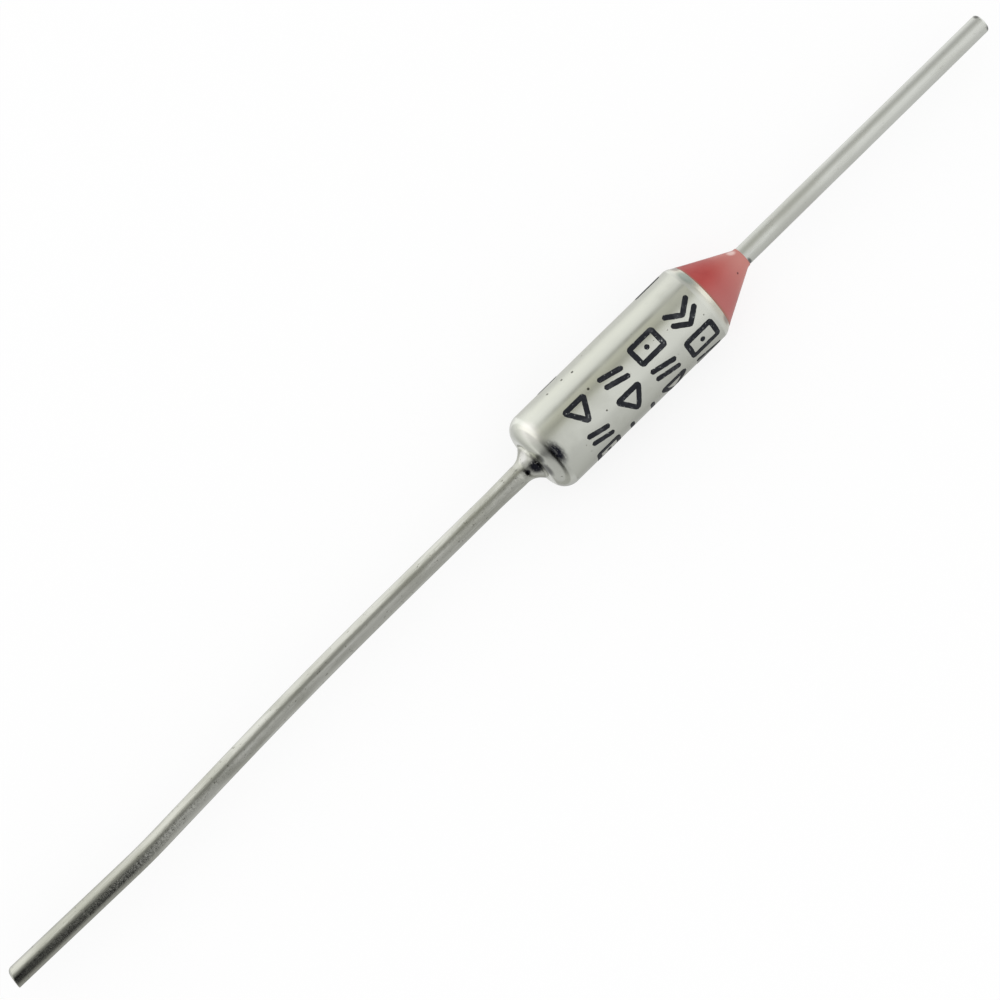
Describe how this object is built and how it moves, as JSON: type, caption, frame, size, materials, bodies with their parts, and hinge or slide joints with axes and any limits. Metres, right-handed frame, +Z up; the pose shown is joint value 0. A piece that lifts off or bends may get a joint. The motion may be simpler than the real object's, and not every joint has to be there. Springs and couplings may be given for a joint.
{
  "type": "axial thermal fuse",
  "caption": "Axial thermal fuse: sealed metal can with a red resin cone, a long lead on the closed end and a short isolated lead on the sealed end.",
  "frame": {"origin": "on the axis of the case, midway between its closed end and the edge of its rolled lip", "axes": "+X along the case's axis towards the resin seal and the isolated lead, +Z up, with the part lying on the side of its case"},
  "size_m": [0.0641, 0.0042, 0.0042],
  "materials": {
    "case_metal": "drawn brass can with a bright silver-coloured plating, satin",
    "lead_metal": "tinned copper wire, drawn and lightly scratched",
    "pellet_compound": "pressed matt powder",
    "disc_metal": "blanked sheet",
    "spring_steel": "drawn wire",
    "contact_metal": "bright sheet",
    "ceramic": "fired matt",
    "seal_resin": "satin red resin"
  },
  "bodies": {
    "root": {"case": "case_metal", "case_lead": "lead_metal", "pellet": "pellet_compound", "pellet_disc": "disc_metal", "main_spring": "spring_steel", "contact_disc": "disc_metal", "star_contact": "contact_metal", "trip_spring": "spring_steel", "ceramic_bushing": "ceramic", "isolated_lead": "lead_metal", "epoxy_seal": "seal_resin"}
  },
  "joints": []
}
